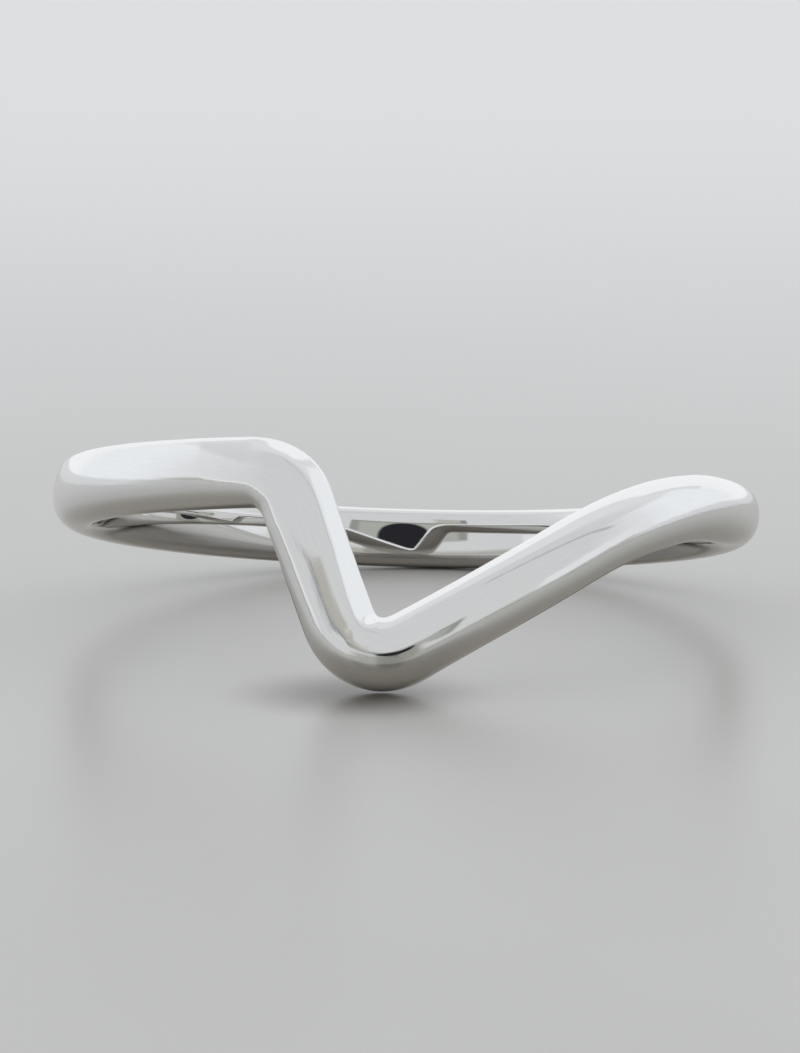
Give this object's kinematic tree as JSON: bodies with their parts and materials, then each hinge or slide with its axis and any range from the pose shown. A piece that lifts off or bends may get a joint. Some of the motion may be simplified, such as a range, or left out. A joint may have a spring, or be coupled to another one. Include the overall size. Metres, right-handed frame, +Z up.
{
  "type": "chevron ring",
  "caption": "Slim polished finger ring whose band drops to a lopsided point at the front, lying on its side.",
  "frame": {"origin": "on the surface that the ring lies on, under the middle of its box", "axes": "+Z up from the surface, -Y towards the point at the front, +X to the right seen from the front; the finger hole's axis leans 15.7 degrees from +Z towards +Y"},
  "size_m": [0.0198, 0.0204, 0.0066],
  "materials": {
    "polished_metal": "polished"
  },
  "bodies": {
    "root": {"band": "polished_metal"}
  },
  "joints": []
}
